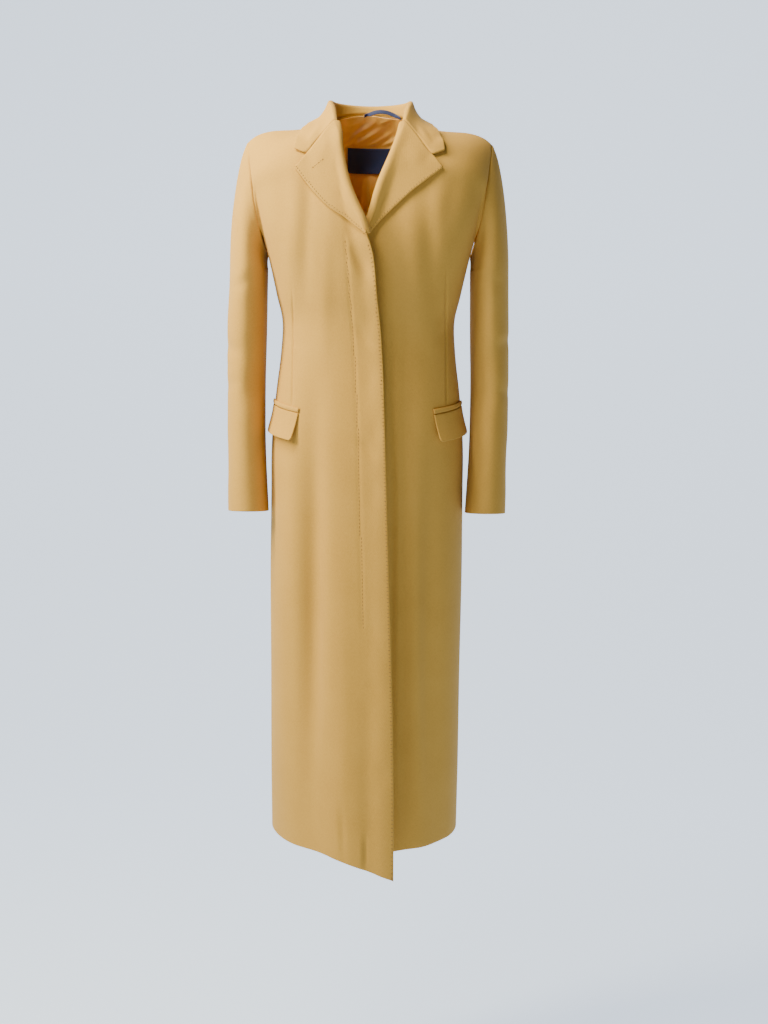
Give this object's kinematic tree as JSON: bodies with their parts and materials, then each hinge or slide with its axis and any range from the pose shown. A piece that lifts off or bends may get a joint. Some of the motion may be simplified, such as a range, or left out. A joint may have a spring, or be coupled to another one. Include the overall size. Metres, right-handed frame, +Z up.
{
  "type": "wool overcoat",
  "caption": "Full-length camel wool overcoat, single-breasted, with notched lapels, a fly front that hides its buttons, set-in sleeves and slanted flap pockets.",
  "frame": {"origin": "between the shoulders at the foot of the neck, where the wearer holds the coat up", "axes": "+Z up along the coat, +X towards the wearer's left, -Y towards the front; the coat hangs upright, as it is worn"},
  "size_m": [0.4916, 0.3546, 1.3042],
  "materials": {
    "camel_wool": "matt brushed wool with a short nap",
    "satin_lining": "smooth satin",
    "navy_tape": "close woven tape"
  },
  "bodies": {
    "root": {"front_right": "camel_wool", "back_right": "camel_wool", "front_left": "camel_wool", "back_left": "camel_wool", "sleeve_right": "camel_wool", "sleeve_left": "camel_wool", "lapel_right": "camel_wool", "lapel_left": "camel_wool", "collar": "camel_wool", "pocket_flap_right": "camel_wool", "pocket_welt_right": "camel_wool", "pocket_flap_left": "camel_wool", "pocket_welt_left": "camel_wool", "lining_back": "satin_lining", "neck_label": "navy_tape", "hanging_loop": "navy_tape"}
  },
  "joints": []
}
